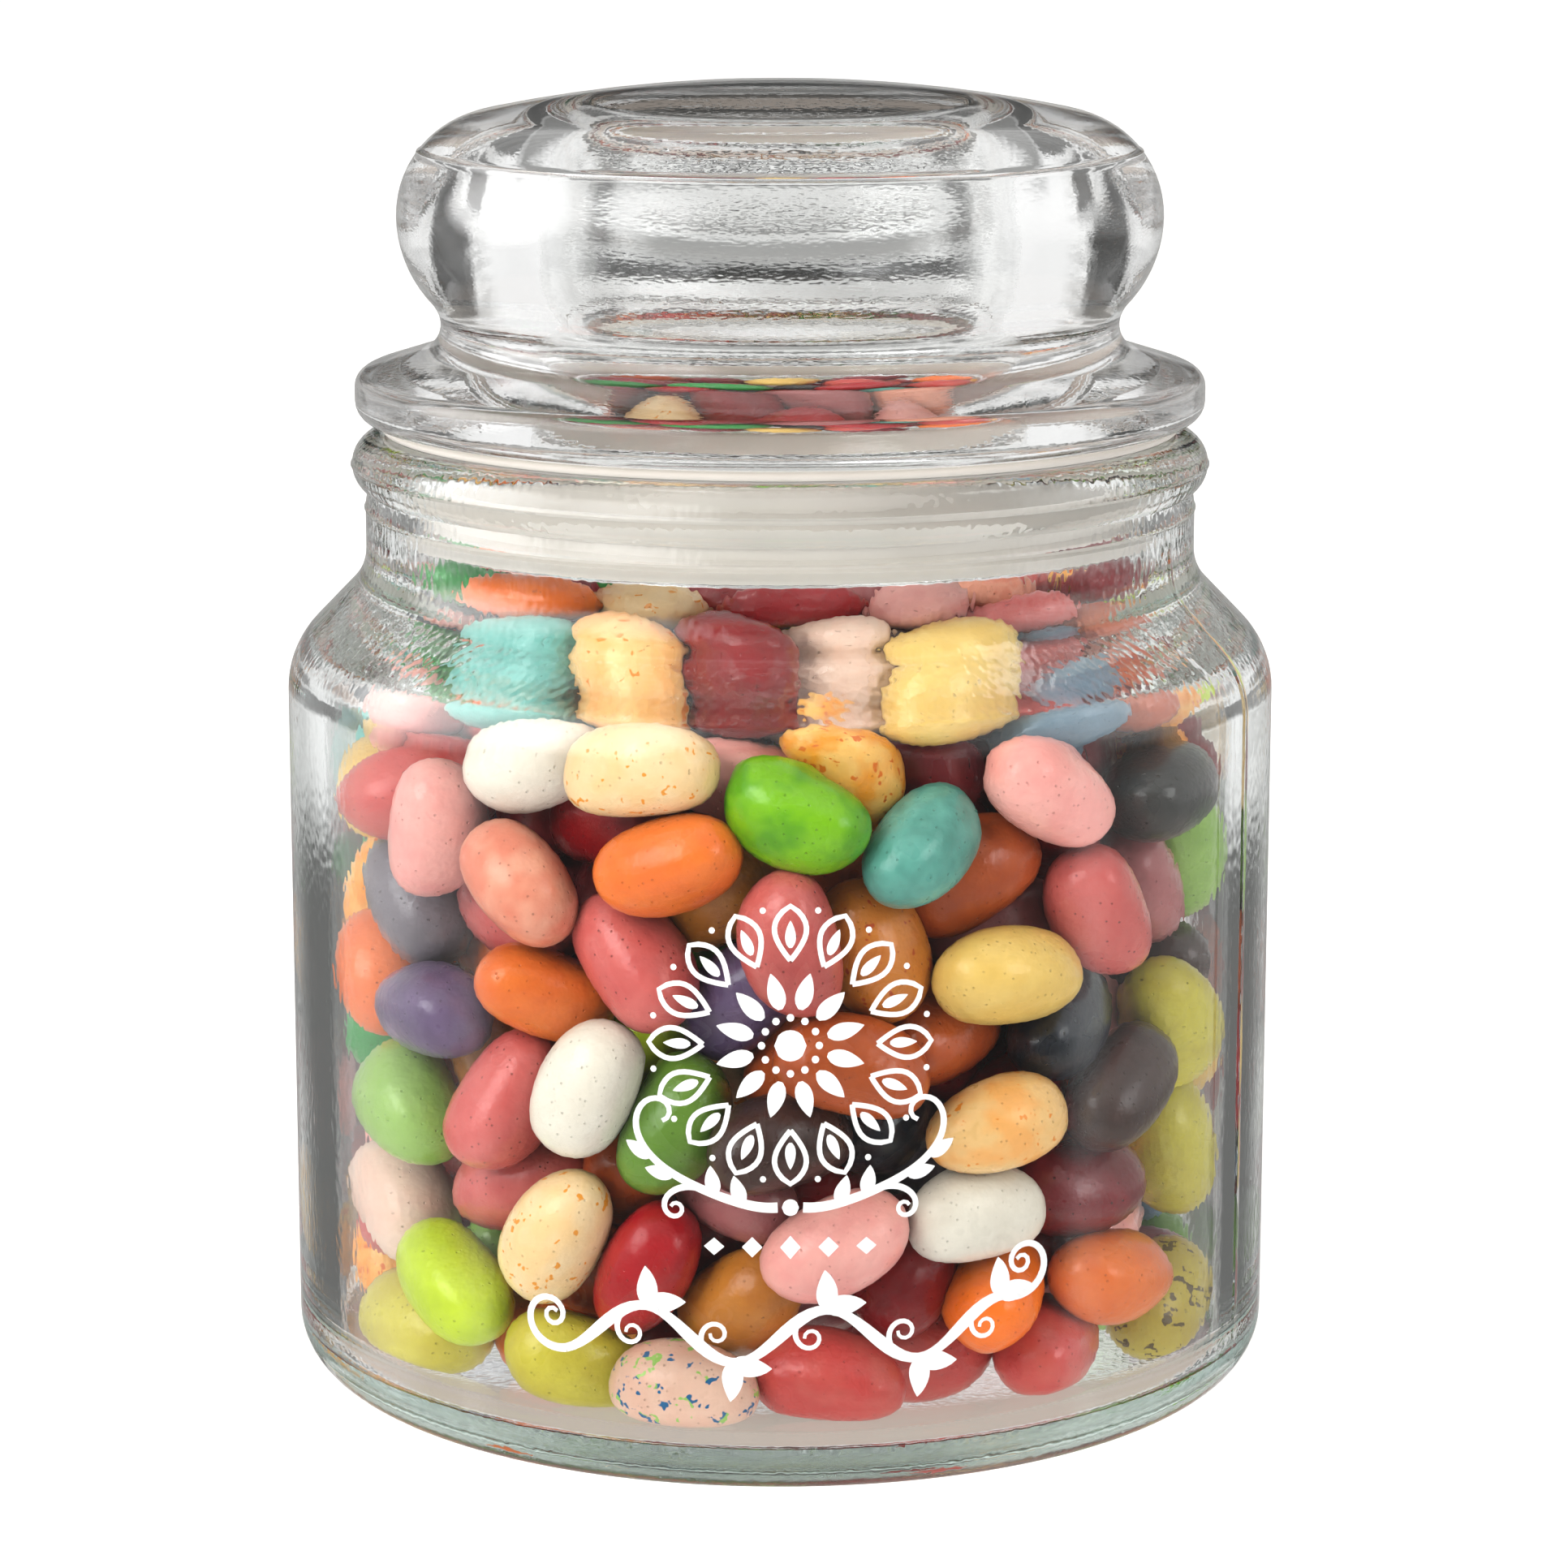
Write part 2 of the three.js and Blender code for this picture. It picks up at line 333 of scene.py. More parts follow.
# ---- Print on the jar --------------------------------------------------------------------------
# White glass enamel, screened on the front of the wall and fired: a rosette over two scrolls, a row
# of diamonds and a wavy vine. Its strokes are thin blades that follow the wall, drawn flat first.
PRINT_R = BODY_R + 0.03
PRINT_T = 0.06
ROSETTE_ACROSS = 1.0
ROSETTE_UP = 45.0
PETALS = 16
INNER_PETALS = 12
PETAL_FOOT = 8.2
PETAL_LONG = 5.2
PETAL_HALF = 1.5
STROKE = 0.25
SCROLL_UP = 29.3
DIAMOND_UP = 25.4
DIAMOND_PITCH = 3.6
VINE_UP = 16.6
VINE_FROM = -21.0
VINE_TO = 23.0
VINE_WAVE = 17.5
VINE_SWING = 2.6
corners, faces = [], []


def blade(line, widths):
    """One stroke of the print, along a line of (across, up), with its half width all the way."""
    line = np.array(line, float)
    widths = np.broadcast_to(widths, len(line))
    ahead = np.gradient(line, axis=0)
    ahead /= np.linalg.norm(ahead, axis=1)[:, None] + 1e-9
    aside = np.stack([-ahead[:, 1], ahead[:, 0]], axis=1) * widths[:, None]
    first = len(corners)
    for here, off in zip(line, aside):
        corners.extend((here + off, here - off))
    for i in range(first, len(corners) - 2, 2):
        faces.append((i, i + 1, i + 3, i + 2))


def wander(start, heading, bends, length, steps=30):
    """A line drawn from a point in a direction, which bends by so many degrees a millimetre."""
    bend = np.interp(np.linspace(0, 1, steps), np.linspace(0, 1, len(bends)), bends)
    turn = np.radians(heading + np.cumsum(bend) * length / steps)
    strides = np.stack([np.cos(turn), np.sin(turn)], axis=1) * length / steps
    strides[0] = 0
    return start + np.cumsum(strides, axis=0)


def leaf(start, heading, length, half, bend=0.0, side=1):
    """A drop-shaped leaf, mirrored about the rosette's middle where side is -1."""
    along = np.linspace(0.02, 1, 9)
    line = wander(start, heading, (bend, bend), length, 9)
    blade(mirrored(line, side), half * np.sin(math.pi * along**0.75) ** 0.8 + 0.03)


def dot(middle, radius):
    """A round spot of the print."""
    across = np.linspace(-1, 1, 9)
    blade([(middle[0] + radius * a, middle[1]) for a in across], radius * np.sqrt(1.001 - across**2))


def around(turn, away, aside=0.0):
    """A point of the rosette: turned from its top, away from its middle, and off that line."""
    a = math.radians(turn)
    across = away * math.sin(a) + aside * math.cos(a)
    return ROSETTE_ACROSS + across, ROSETTE_UP + away * math.cos(a) - aside * math.sin(a)


def mirrored(line, side):
    """A line as it is, or on the other side of the rosette."""
    return (np.array(line) - (ROSETTE_ACROSS, 0)) * (side, 1) + (ROSETTE_ACROSS, 0)


dot(around(0, 0), 1.5)
for k in range(INNER_PETALS):
    turn = 360 / INNER_PETALS * k
    dot(around(turn, 2.7), 0.36)
    leaf(around(turn + 15, 3.6), 75 - turn, 4.0, 0.8)
along = np.linspace(0, 1, 11)
bulge = PETAL_HALF * np.sin(math.pi * along**1.25) ** 0.75
for k in range(PETALS):
    turn = 360 / PETALS * k
    there = [around(turn, PETAL_FOOT + PETAL_LONG * a, b) for a, b in zip(along, bulge)]
    back = [around(turn, PETAL_FOOT + PETAL_LONG * a, -b) for a, b in zip(along, bulge)]
    blade(there + back[::-1][1:], STROKE)
    leaf(around(turn, PETAL_FOOT + 1.2), 90 - turn, 2.9, 0.48)
    dot(around(turn + 180 / PETALS, 13.2), 0.3)
for side in (-1, 1):
    stem = wander((ROSETTE_ACROSS + 1.2, SCROLL_UP), -12, (9, 2, 2, 8, 22, 60), 24, 44)
    blade(mirrored(stem, side), np.linspace(0.5, 0.22, 44))
    curl = wander(stem[14], 20, (-14, -20, -60, -110), 9, 26)
    blade(mirrored(curl, side), np.linspace(0.34, 0.18, 26))
    for at, heading in ((6, 62), (11, 70), (19, 0), (24, 20)):
        leaf(stem[at], heading, 3.2, 0.7, 5, side)
dot((ROSETTE_ACROSS, SCROLL_UP), 0.8)
for k in range(-2, 3):
    across = ROSETTE_ACROSS + DIAMOND_PITCH * k
    blade([(across + d, DIAMOND_UP) for d in (-0.95, 0, 0.95)], (0.02, 1.15 - 0.15 * abs(k), 0.02))
vine = np.linspace(VINE_FROM, VINE_TO, 60)
swell = 0.42 + 0.2 * np.sin(np.linspace(0, math.tau * 2.5, 60)) ** 2
vine = np.stack([vine, VINE_UP + VINE_SWING * np.sin(math.tau * vine / VINE_WAVE)], axis=1)
blade(vine, swell)
for end, second, bend in ((vine[0], vine[1], -1), (vine[-1], vine[-2], 1)):
    heading = math.degrees(math.atan2(*(end - second)[::-1]))
    curl = wander(end, heading, (bend * 14, bend * 22, bend * 36, bend * 90), 16, 34)
    blade(curl, np.linspace(0.42, 0.2, 34))
for k in range(5):
    crest = VINE_WAVE * (0.5 * k - 0.75)
    up = 1 if k % 2 == 0 else -1
    at = int(np.argmin(abs(vine[:, 0] - crest)))
    leaf(vine[at], up * 78, 4.4, 1.0, up * 5)
    leaf(vine[at], up * 22, 4.4, 1.0, -up * 5)
    curl = wander(vine[at], 180 - up * 10, (up * 12, up * 34, up * 90), 10.5, 26)
    blade(curl, np.linspace(0.34, 0.16, 26))

across, up = np.array(corners).T
turn = across / PRINT_R
wrapped = np.stack([PRINT_R * np.sin(turn), -PRINT_R * np.cos(turn), up], axis=1) * MM
printed = bpy.data.objects.new("front_print", bpy.data.meshes.new("front_print"))
printed.data.from_pydata(wrapped.tolist(), [], faces)
bpy.context.collection.objects.link(printed)
edit(printed)
bpy.ops.object.mode_set(mode="OBJECT")
enamel_coat = printed.modifiers.new("thickness", "SOLIDIFY")
enamel_coat.thickness = PRINT_T * MM
enamel_coat.offset = 1.0
bpy.ops.object.modifier_apply(modifier=enamel_coat.name)


def mix(tree, factor, first, second):
    """One colour laid over another."""
    made = tree.nodes.new("ShaderNodeMix")
    made.data_type = "RGBA"
    fill(tree, (made.inputs[0], made.inputs[6], made.inputs[7]), (factor, first, second))
    return made.outputs[2]


enamel, tree, body = new_material("white_enamel")
screened = node(tree, "ShaderNodeTexNoise", Scale=1600.0, Detail=2.0)
tree.links.new(node(tree, "ShaderNodeTexCoord").outputs["Object"], screened.inputs["Vector"])
bump = node(tree, "ShaderNodeBump", Height=screened.outputs["Fac"], Distance=0.01 * MM)
tree.links.new(bump.outputs[0], body.inputs["Normal"])
white = mix(tree, screened.outputs["Fac"], (0.80, 0.84, 0.90, 1), (0.88, 0.92, 0.97, 1))
tree.links.new(white, body.inputs["Base Color"])
body.inputs["Roughness"].default_value = 0.3
finish(printed, enamel, "print_enamel")

# ---- Jelly beans -------------------------------------------------------------------------------
# Sweets of soft jelly in a polished sugar shell, about 15 mm long, poured in loose and shaken down.
# Each flavour has its own colour, some with spots. The first are placed one by one where the jar shows
# them.
BEAN_LONG = 15.0
BEAN_WIDE = 9.7
BEAN_THICK = 9.3

# A flavour's shell: base, mottle and spot colours, how much of each, green among the spots, and
# how dark the painted shade in the pits of its shell is.
FLAVOURS = {
    "white": dict(base=(0.92, 0.90, 0.86), mottle=(0.87, 0.84, 0.79)),
    "cream": dict(
        base=(0.97, 0.85, 0.67), mottle=(0.96, 0.76, 0.47),
        spots=0.3, spot=(0.93, 0.60, 0.18),
    ),
    "peach": dict(
        base=(0.96, 0.78, 0.52), mottle=(0.97, 0.66, 0.33),
        amount=0.7, spots=0.25, spot=(0.92, 0.55, 0.15),
    ),
    "toasted": dict(
        base=(0.95, 0.60, 0.13), mottle=(0.98, 0.80, 0.46),
        amount=0.75, spots=0.4, spot=(0.88, 0.44, 0.06),
    ),
    "light_pink": dict(base=(0.95, 0.68, 0.66), mottle=(0.92, 0.56, 0.55)),
    "shell_pink": dict(base=(0.94, 0.82, 0.76), mottle=(0.93, 0.73, 0.66)),
    "salmon": dict(base=(0.87, 0.60, 0.51), mottle=(0.83, 0.46, 0.37), amount=0.8, pore_shade=0.4),
    "rose": dict(base=(0.80, 0.39, 0.38), mottle=(0.74, 0.28, 0.28), pore_shade=0.6),
    "mauve": dict(base=(0.66, 0.40, 0.41), mottle=(0.58, 0.30, 0.32)),
    "red": dict(base=(0.70, 0.10, 0.14), mottle=(0.60, 0.05, 0.08)),
    "scarlet_pink": dict(base=(0.78, 0.28, 0.27), mottle=(0.80, 0.40, 0.36)),
    "dark_red": dict(base=(0.54, 0.06, 0.09), mottle=(0.42, 0.03, 0.05)),
    "maroon": dict(base=(0.49, 0.13, 0.16), mottle=(0.36, 0.07, 0.09), pore_shade=0.8),
    "orange": dict(base=(0.91, 0.46, 0.18), mottle=(0.86, 0.37, 0.12)),
    "bright_orange": dict(base=(0.96, 0.46, 0.12), mottle=(0.92, 0.38, 0.07)),
    "burnt_orange": dict(base=(0.74, 0.34, 0.15), mottle=(0.64, 0.25, 0.10)),
    "amber": dict(
        base=(0.82, 0.50, 0.20), mottle=(0.72, 0.38, 0.13),
        spots=0.15, spot=(0.66, 0.16, 0.10),
    ),
    "ochre": dict(base=(0.74, 0.47, 0.18), mottle=(0.66, 0.37, 0.11)),
    "yellow": dict(base=(0.92, 0.78, 0.44), mottle=(0.86, 0.69, 0.32)),
    "olive_yellow": dict(base=(0.79, 0.75, 0.26), mottle=(0.69, 0.62, 0.17)),
    "freckled_yellow": dict(
        base=(0.74, 0.67, 0.24), mottle=(0.66, 0.56, 0.16),
        spots=0.7, spot=(0.34, 0.27, 0.08),
    ),
    "lime": dict(base=(0.77, 0.87, 0.14), mottle=(0.66, 0.77, 0.06)),
    "apple_green": dict(base=(0.58, 0.75, 0.35), mottle=(0.48, 0.66, 0.26)),
    "grass_green": dict(base=(0.47, 0.73, 0.07), mottle=(0.28, 0.58, 0.04), amount=0.8),
    "leaf_green": dict(base=(0.39, 0.55, 0.20), mottle=(0.30, 0.46, 0.14)),
    "emerald": dict(base=(0.15, 0.57, 0.25), mottle=(0.10, 0.47, 0.18)),
    "turquoise": dict(base=(0.42, 0.72, 0.70), mottle=(0.34, 0.62, 0.60)),
    "teal": dict(base=(0.37, 0.65, 0.61), mottle=(0.26, 0.52, 0.48), amount=0.8),
    "steel_blue": dict(base=(0.42, 0.54, 0.63), mottle=(0.33, 0.44, 0.53)),
    "navy": dict(base=(0.12, 0.14, 0.18), mottle=(0.07, 0.08, 0.11)),
    "charcoal": dict(base=(0.20, 0.20, 0.20), mottle=(0.12, 0.12, 0.12)),
    "violet": dict(base=(0.41, 0.34, 0.49), mottle=(0.30, 0.24, 0.38)),
    "grey_violet": dict(base=(0.46, 0.44, 0.48), mottle=(0.36, 0.34, 0.39)),
    "brown": dict(base=(0.27, 0.19, 0.18), mottle=(0.19, 0.13, 0.12)),
    "speckled": dict(
        base=(0.88, 0.73, 0.66), mottle=(0.86, 0.64, 0.56),
        spots=0.8, spot=(0.12, 0.38, 0.58), green=1.0,
    ),
}

# Beans that show through the wall: flavour, turn from the front, height, tilt, how far in from the
# wall and, for one seen end on, its lean into the jar. The first ones make the two rings in the
# shoulder and the neck, on the left.
SHOWN = [
    ("emerald", -82, 80, 60, 9), ("maroon", -68, 79.5, 80, 12), ("orange", -52, 81, 10, 9.5),
    ("cream", -35, 81, 0, 9.5), ("light_pink", -70, 70, 60, 0.5), ("turquoise", -46, 75.5, 15, 5.5),
    ("peach", -24, 76.5, 5, 6.5), ("white", -37, 68.3, 20, 0.5), ("cream", -19, 69.0, -20, 0.5),
    ("dark_red", -28, 62.8, -5, 2.5), ("light_pink", -52, 61, 70, 0), ("yellow", -82, 61, 0, 0),
    ("toasted", -86, 50.5, 85, 0), ("grey_violet", -65, 51.3, -55, 1.5), ("salmon", -35.5, 57, -45, 0),
    ("rose", -47, 51, -25, 2.5), ("orange", -14, 61, 38, 0), ("emerald", -85, 38, 90, 0),
    ("violet", -54, 42.3, -8, 0.5), ("orange", -35, 45.5, -40, 1), ("rose", -22, 49.6, -50, 0.5),
    ("ochre", -10, 55.1, 50, 4), ("rose", 2, 53, -80, 0), ("amber", 15, 51.2, -72, 1.5),
    ("apple_green", -59.5, 32.2, -48, 0.5), ("rose", -39.5, 34.8, 62, 1.5), ("white", -25.8, 38, 75, 0),
    ("orange", -83, 26, -20, 2.5), ("light_pink", -98, 25, 90, 0), ("leaf_green", -16, 33.8, 62, 0.5),
    ("rose", -86, 16.5, -30, 1), ("shell_pink", -67, 20.2, -40, 0.5), ("rose", -43, 24.7, 15, 1.5),
    ("cream", -30, 22.4, 62, 0.5), ("red", -20.2, 19.4, 68, 0), ("mauve", -8, 25.5, -30, 2.5),
    ("lime", -50, 14.9, -35, 0), ("toasted", -93, 9.5, -60, 0), ("olive_yellow", -92, 9, 60, 8),
    ("rose", -78, 12, 60, 7), ("violet", -71, 8.5, -45, 2), ("olive_yellow", -58.5, 8.5, -30, 1),
    ("orange", -44, 8.5, -10, 1), ("olive_yellow", -29.5, 8.8, -35, 0), ("ochre", -6, 16.5, 35, 1.5),
    ("speckled", -13, 8.5, -5, 0), ("light_pink", 7, 23, 28, 0), ("mauve", 10, 15.2, 0, 6),
    ("scarlet_pink", 6, 8.9, -15, 1), ("dark_red", 21.5, 17.4, -65, 1.5),
    ("bright_orange", 32.5, 15.5, 0, 1), ("orange", 49.5, 15.8, -5, 0), ("maroon", 49.5, 24.3, 12, 0),
    ("white", 27.5, 24.8, 0, 1), ("peach", 30, 33.4, 30, 0), ("brown", 52, 34.7, 42, 0),
    ("navy", 45, 42.2, 40, 1.5), ("yellow", 31, 48.3, -5, 0), ("burnt_orange", 30, 57.6, 20, 1),
    ("rose", 47, 53, -70, 1), ("mauve", 67.5, 52.8, -50, 2), ("charcoal", 64, 63, 15, 1),
    ("light_pink", 38, 66.1, -30, 0), ("steel_blue", 46.5, 71.5, 25, 2), ("toasted", 76, 69.8, -80, 1),
    ("yellow", 29, 75.5, 5, 5.5), ("teal", 18, 61.4, 10, 2, 52), ("grass_green", 3, 65, -10, 0),
    ("toasted", 8.3, 67.9, -25, 1.5), ("light_pink", -6, 67.2, 10, 5), ("dark_red", -11, 69, -80, 9),
    ("olive_yellow", -3, 71, 0, 9), ("dark_red", -9, 76.5, 0, 8), ("dark_red", -17, 81, 0, 9.5),
    ("red", 3, 81, 0, 9.5), ("shell_pink", 11, 76, 0, 7), ("maroon", 25, 67.5, -20, 5.5),
    ("dark_red", 32, 60, 0, 8.5), ("burnt_orange", 11, 58.3, 0, 8),
    ("olive_yellow", 66.5, 38.7, -70, 0), ("olive_yellow", 72.5, 25.3, -80, 1),
    ("light_pink", 70, 17.3, 20, 2), ("freckled_yellow", 67.5, 9.3, 60, 1),
    ("scarlet_pink", 43, 8.5, -5, 0.5), ("scarlet_pink", 25.5, 8.5, -10, 2.5),
    ("apple_green", 80, 54, -70, 2), ("burnt_orange", 9.6, 40.4, -5, 1.5),
    ("burnt_orange", 26.6, 40.8, 10, 5), ("violet", -6, 45.5, 60, 5), ("brown", 0, 33.2, 20, 1.5),
    ("navy", 17, 34.2, 40, 4), ("light_pink", 38, 81, 0, 9.5), ("salmon", 57, 81, 20, 9.5),
    ("mauve", 20, 81, 0, 11), ("rose", 50, 77, 0, 7.5), ("dark_red", -12, 21, 20, 5),
]

# The heap: each bean counts as three balls in a row, and the heap has a core that nothing shows.
BALL_R = 4.72
BALL_STEP = 2.75
CLEAR_OF_WALL = 0.4
TOUCH = 0.1
HEAP_TOP = 85.8
BEAN_COUNT = 370
BEANS_APART = 7.4
AT_WALL = 5.0
TOP_FROM = 74.0
TOP_WITHIN = 28.0
CORE_R = 19.0
CORE_LOW = 17.0
CORE_TOP = 68.0
CORE_CLEAR = 3.0
CORE_PUSH = 0.3
PUSH = 0.6
FIRM = 0.6
GIVE_WAY = 0.25
SLIDE_DOWN = 0.4
DEPTH_HOLD = 0.2
REST_R = INNER_R - BALL_R - CLEAR_OF_WALL
chance = np.random.default_rng(41)


def room(margin):
    """Heights, and how far out the hollow of the jar reaches at each, less a margin."""
    wide, narrow, slope = INNER_R - margin, NECK_INNER_R - margin, cone_reach - margin
    heights = [0, (slope - wide * cone_r) / cone_z, (slope - narrow * cone_r) / cone_z, 120]
    return np.array(heights), np.array([wide, wide, narrow, narrow])


limit_z, limit_r = room(BALL_R + CLEAR_OF_WALL)
wall_z, wall_r = room(TOUCH)

middles, ways, flavour_of = [], [], []
for flavour, turn, height, tilt, inward, *lean in SHOWN:
    a, t, lean = (math.radians(d) for d in (turn, tilt, *lean, 0)[:3])
    outward = np.array([math.sin(a), -math.cos(a), 0])
    flat = np.array([math.cos(a) * math.cos(t), math.sin(a) * math.cos(t), math.sin(t)])
    middles.append(outward * (REST_R - inward) + (0, 0, height))
    ways.append(flat * math.cos(lean) - outward * math.sin(lean))
    flavour_of.append(flavour)
shown_count = len(middles)

# The rest are thrown in wherever no earlier bean lies. Those at the wall lie flat against it.
MIXED = [name for name in FLAVOURS if name not in ("speckled", "freckled_yellow")]
while len(middles) < BEAN_COUNT:
    height = chance.uniform(FLOOR_T + BALL_R, HEAP_TOP - BALL_R)
    outmost = np.interp(height, limit_z, limit_r)
    radius = outmost * math.sqrt(chance.uniform(0, 1))
    a, t = chance.uniform(0, math.tau), chance.uniform(-math.pi / 2, math.pi / 2)
    middle = np.array([math.sin(a) * radius, -math.cos(a) * radius, height])
    in_core = radius < CORE_R + 2 and CORE_LOW - 2 < height < CORE_TOP + 2
    if in_core or min(np.linalg.norm(middle - m) for m in middles) < BEANS_APART:
        continue
    way = np.array([math.cos(a) * math.cos(t), math.sin(a) * math.cos(t), math.sin(t)])
    if radius < outmost - AT_WALL:
        way = chance.normal(size=3)
    middles.append(middle)
    ways.append(way / np.linalg.norm(way))
    flavour_of.append(MIXED[chance.integers(len(MIXED))])

middles, ways = np.array(middles), np.array(ways)
held = np.arange(BEAN_COUNT) < shown_count
laid_middles, laid_ways = middles.copy(), ways.copy()
outwards = middles * (1, 1, 0)
outwards /= np.linalg.norm(outwards, axis=1)[:, None] + 1e-9
stature = chance.uniform(0.96, 1.03, BEAN_COUNT)
ball_of = np.repeat(np.arange(BEAN_COUNT), 3)
ball_step = np.tile([-BALL_STEP, 0, BALL_STEP], BEAN_COUNT) * stature[ball_of]
ball_r = BALL_R * stature[ball_of]


def settle(rounds, hold, sink):
    """Pushes beans apart and off the glass. Those listed keep their turn, height and tilt."""
    global middles, ways
    for turn in range(rounds):
        balls = middles[ball_of] + ways[ball_of] * ball_step[:, None]
        if turn % 6 == 0:
            gaps = np.linalg.norm(balls[:, None] - balls[None], axis=2)
            first, second = np.nonzero(np.triu(gaps < 2 * BALL_R + 3, 1))
            apart = ball_of[first] != ball_of[second]
            first, second = first[apart], second[apart]
        between = balls[first] - balls[second]
        distance = np.linalg.norm(between, axis=1) + 1e-9
        overlap = np.maximum(0, ball_r[first] + ball_r[second] - distance)
        push = between * (PUSH * overlap / distance)[:, None]
        yields = 1 - FIRM * held[ball_of]
        share = (yields[first] / (yields[first] + yields[second]))[:, None]
        shift = np.zeros_like(balls)
        np.add.at(shift, first, push * share)
        np.add.at(shift, second, push * (share - 1))
        # Where two laid beans cross, the one that lies deeper gives way into the jar.
        deeper = np.linalg.norm(balls[first, :2], axis=1) < np.linalg.norm(balls[second, :2], axis=1)
        behind = np.where(deeper, first, second)
        both = held[ball_of[first]] & held[ball_of[second]]
        np.add.at(shift, behind, -outwards[ball_of[behind]] * (GIVE_WAY * overlap * both)[:, None])
        shift[:, 2] -= sink
        moved = balls + shift
        radius = np.linalg.norm(moved[:, :2], axis=1) + 1e-9
        over = np.maximum(0, radius - np.interp(moved[:, 2], limit_z, limit_r) + ball_r - BALL_R)
        moved[:, :2] *= (1 - over / radius)[:, None]
        moved[:, 2] -= np.where(moved[:, 2] > SHOULDER_Z + 1, over * SLIDE_DOWN, 0)
        moved[:, 2] = np.clip(moved[:, 2], FLOOR_T + ball_r, HEAP_TOP - ball_r)
        clear_r = CORE_R + CORE_CLEAR
        inside = (radius < clear_r) & (moved[:, 2] > CORE_LOW) & (moved[:, 2] < CORE_TOP)
        moved[:, :2] *= np.where(inside, clear_r / radius, 1)[:, None] ** CORE_PUSH
        moved = moved.reshape(-1, 3, 3)
        middles = moved.mean(axis=1)
        ways = moved[:, 2] - moved[:, 0]
        back = (laid_middles - middles) * held[:, None]
        depth = (back * outwards).sum(axis=1)[:, None] * outwards
        middles += (back - depth) * hold + depth * hold * DEPTH_HOLD
        pull = (held * hold)[:, None]
        ways = ways / np.linalg.norm(ways, axis=1)[:, None] * (1 - pull) + laid_ways * pull
        ways /= np.linalg.norm(ways, axis=1)[:, None]


settle(200, 0.3, 0.03)
settle(160, 0.12, 0.0)

# On top, under the lid, and between the beans at the wall, the deeper colours come up more often.
ON_TOP = ("dark_red", "red", "yellow", "maroon", "scarlet_pink", "emerald", "red")
DEEPER = ("dark_red", "maroon", "burnt_orange", "red")
for i in range(shown_count, BEAN_COUNT):
    away = math.hypot(*middles[i, :2])
    if middles[i, 2] > TOP_FROM and away < TOP_WITHIN:
        flavour_of[i] = ON_TOP[i % len(ON_TOP)]
    elif away < REST_R - AT_WALL and i % 2:
        flavour_of[i] = DEEPER[i // 2 % len(DEEPER)]

# One bean: a rounded block, plump at the ends and a little hollow along one side.
bpy.ops.mesh.primitive_cube_add(size=2)
bean_block = bpy.context.object
edit(bean_block)
bpy.ops.mesh.subdivide(number_cuts=1)
bpy.ops.transform.tosphere(value=0.9)
bpy.ops.object.mode_set(mode="OBJECT")
block = np.array([v.co for v in bean_block.data.vertices])
reach = np.abs(block).max(axis=0)
block /= reach
# Rounding draws the block in, so it starts larger.
ROUNDED_OFF = 1.17


def bean_mesh(i):
    """A copy of the block as bean i: its own size, dents and place."""
    size = np.array([BEAN_LONG, BEAN_WIDE, BEAN_THICK]) / 2 * ROUNDED_OFF * stature[i]
    size *= chance.uniform((0.97, 0.97, 0.97), (1.03, 1.03, 1.03))
    taper = 1 + chance.uniform(-0.08, 0.08) * block[:, :1]
    points = block * size * np.hstack([np.ones((len(block), 1)), taper, taper])
    points[:, 1] -= chance.uniform(0.4, 1.7) * (block[:, 0] ** 2 - 0.4)
    points += chance.normal(0, 0.16, points.shape)
    along = ways[i]
    side = np.cross(along, chance.normal(size=3))
    side /= np.linalg.norm(side)
    frame_of = np.array([along, side, np.cross(along, side)])
    mesh = bean_block.data.copy()
    mesh.vertices.foreach_set("co", ((points @ frame_of + middles[i]) * MM).ravel())
    tone = mesh.attributes.new("tone", "FLOAT", "POINT")
    tone.data.foreach_set("value", np.full(len(points), chance.uniform(0, 1)))
    return mesh


shell, given, result = effect(
    "sugar_shell",
    [
        ("Vector", VECTOR, None), ("Tone", FLOAT, 0.5),
        ("Base", COLOUR, (1, 1, 1, 1)), ("Mottle", COLOUR, (1, 1, 1, 1)), ("Amount", FLOAT, 0.5),
        ("Spot", COLOUR, (1, 1, 1, 1)), ("Spots", FLOAT, 0.0),
        ("Green", FLOAT, 0.0), ("Pore Shade", FLOAT, 0.3),
    ],
    [("Color", COLOUR), ("Height", FLOAT), ("Roughness", FLOAT)],
)
vector = given["Vector"]
cloud = node(shell, "ShaderNodeTexNoise", Vector=vector, Scale=210.0, Detail=2.0, Roughness=0.65)
grain = node(shell, "ShaderNodeTexNoise", Vector=vector, Scale=1500.0, Detail=1.0)
pore = node(shell, "ShaderNodeTexVoronoi", Vector=vector, Scale=1100.0)
blotch = node(shell, "ShaderNodeTexNoise", Vector=vector, Scale=620.0, Detail=2.0, Roughness=0.75)
choice = node(shell, "ShaderNodeTexNoise", Vector=vector, Scale=380.0, Detail=0.0)
colour = mix(
    shell, math_node(shell, "MULTIPLY", ramp(shell, cloud.outputs["Fac"], 0.42, 0.62), given["Amount"]),
    given["Base"], given["Mottle"],
)
spot_colour = mix(
    shell, math_node(shell, "MULTIPLY", ramp(shell, choice.outputs["Fac"], 0.5, 0.52), given["Green"]),
    given["Spot"], (0.30, 0.55, 0.12, 1),
)
fleck = math_node(shell, "ADD", blotch.outputs["Fac"], math_node(shell, "MULTIPLY", given["Spots"], 0.1))
fleck = math_node(shell, "MULTIPLY", ramp(shell, fleck, 0.66, 0.69), ramp(shell, given["Spots"], 0, 0.2))
colour = mix(shell, fleck, colour, spot_colour)
bright = math_node(shell, "ADD", 0.9, math_node(shell, "MULTIPLY", given["Tone"], 0.14))
